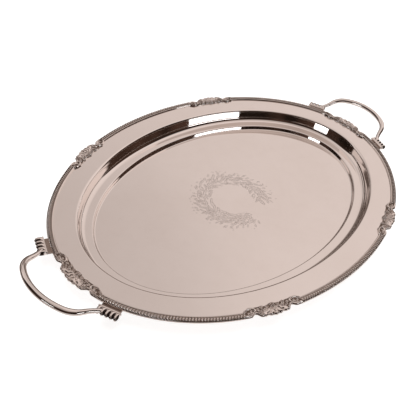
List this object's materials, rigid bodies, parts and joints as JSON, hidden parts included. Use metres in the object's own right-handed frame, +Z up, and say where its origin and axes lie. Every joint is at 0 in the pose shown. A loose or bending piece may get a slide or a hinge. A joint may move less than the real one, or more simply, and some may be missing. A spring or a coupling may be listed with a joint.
{
  "type": "serving tray",
  "caption": "Oval two-handled serving tray with a stepped well, applied bead border, cast floral mounts and raised bail handles.",
  "frame": {"origin": "centre of the underside of the floor, where the tray rests", "axes": "+X along the tray's length towards one handle, +Y across the tray, +Z up"},
  "size_m": [0.547, 0.341, 0.0365],
  "materials": {
    "tray_sheet": "mirror-polished silver plate on pressed sheet, faint engraved wreath",
    "border_strip": "silver-plated stamped border strip, darkened in its grooves",
    "cast_mount": "silver-plated casting, burnished high spots and darkened recesses",
    "handle_bar": "mirror-polished silver-plated bar",
    "handle_fittings": "silver-plated casting, darkened between the reeds"
  },
  "bodies": {
    "root": {"border_back": "border_strip", "border_back_left": "border_strip", "border_back_right": "border_strip", "border_front": "border_strip", "border_front_left": "border_strip", "border_front_right": "border_strip", "foot_left_back": "handle_fittings", "foot_left_front": "handle_fittings", "foot_right_back": "handle_fittings", "foot_right_front": "handle_fittings", "handle_left": "handle_bar", "handle_right": "handle_bar", "lug_left_back": "handle_fittings", "lug_left_front": "handle_fittings", "lug_right_back": "handle_fittings", "lug_right_front": "handle_fittings", "mount_back_left": "cast_mount", "mount_back_right": "cast_mount", "mount_front_left": "cast_mount", "mount_front_right": "cast_mount", "mount_left_end": "cast_mount", "mount_right_end": "cast_mount", "tray_body": "tray_sheet"}
  },
  "joints": []
}
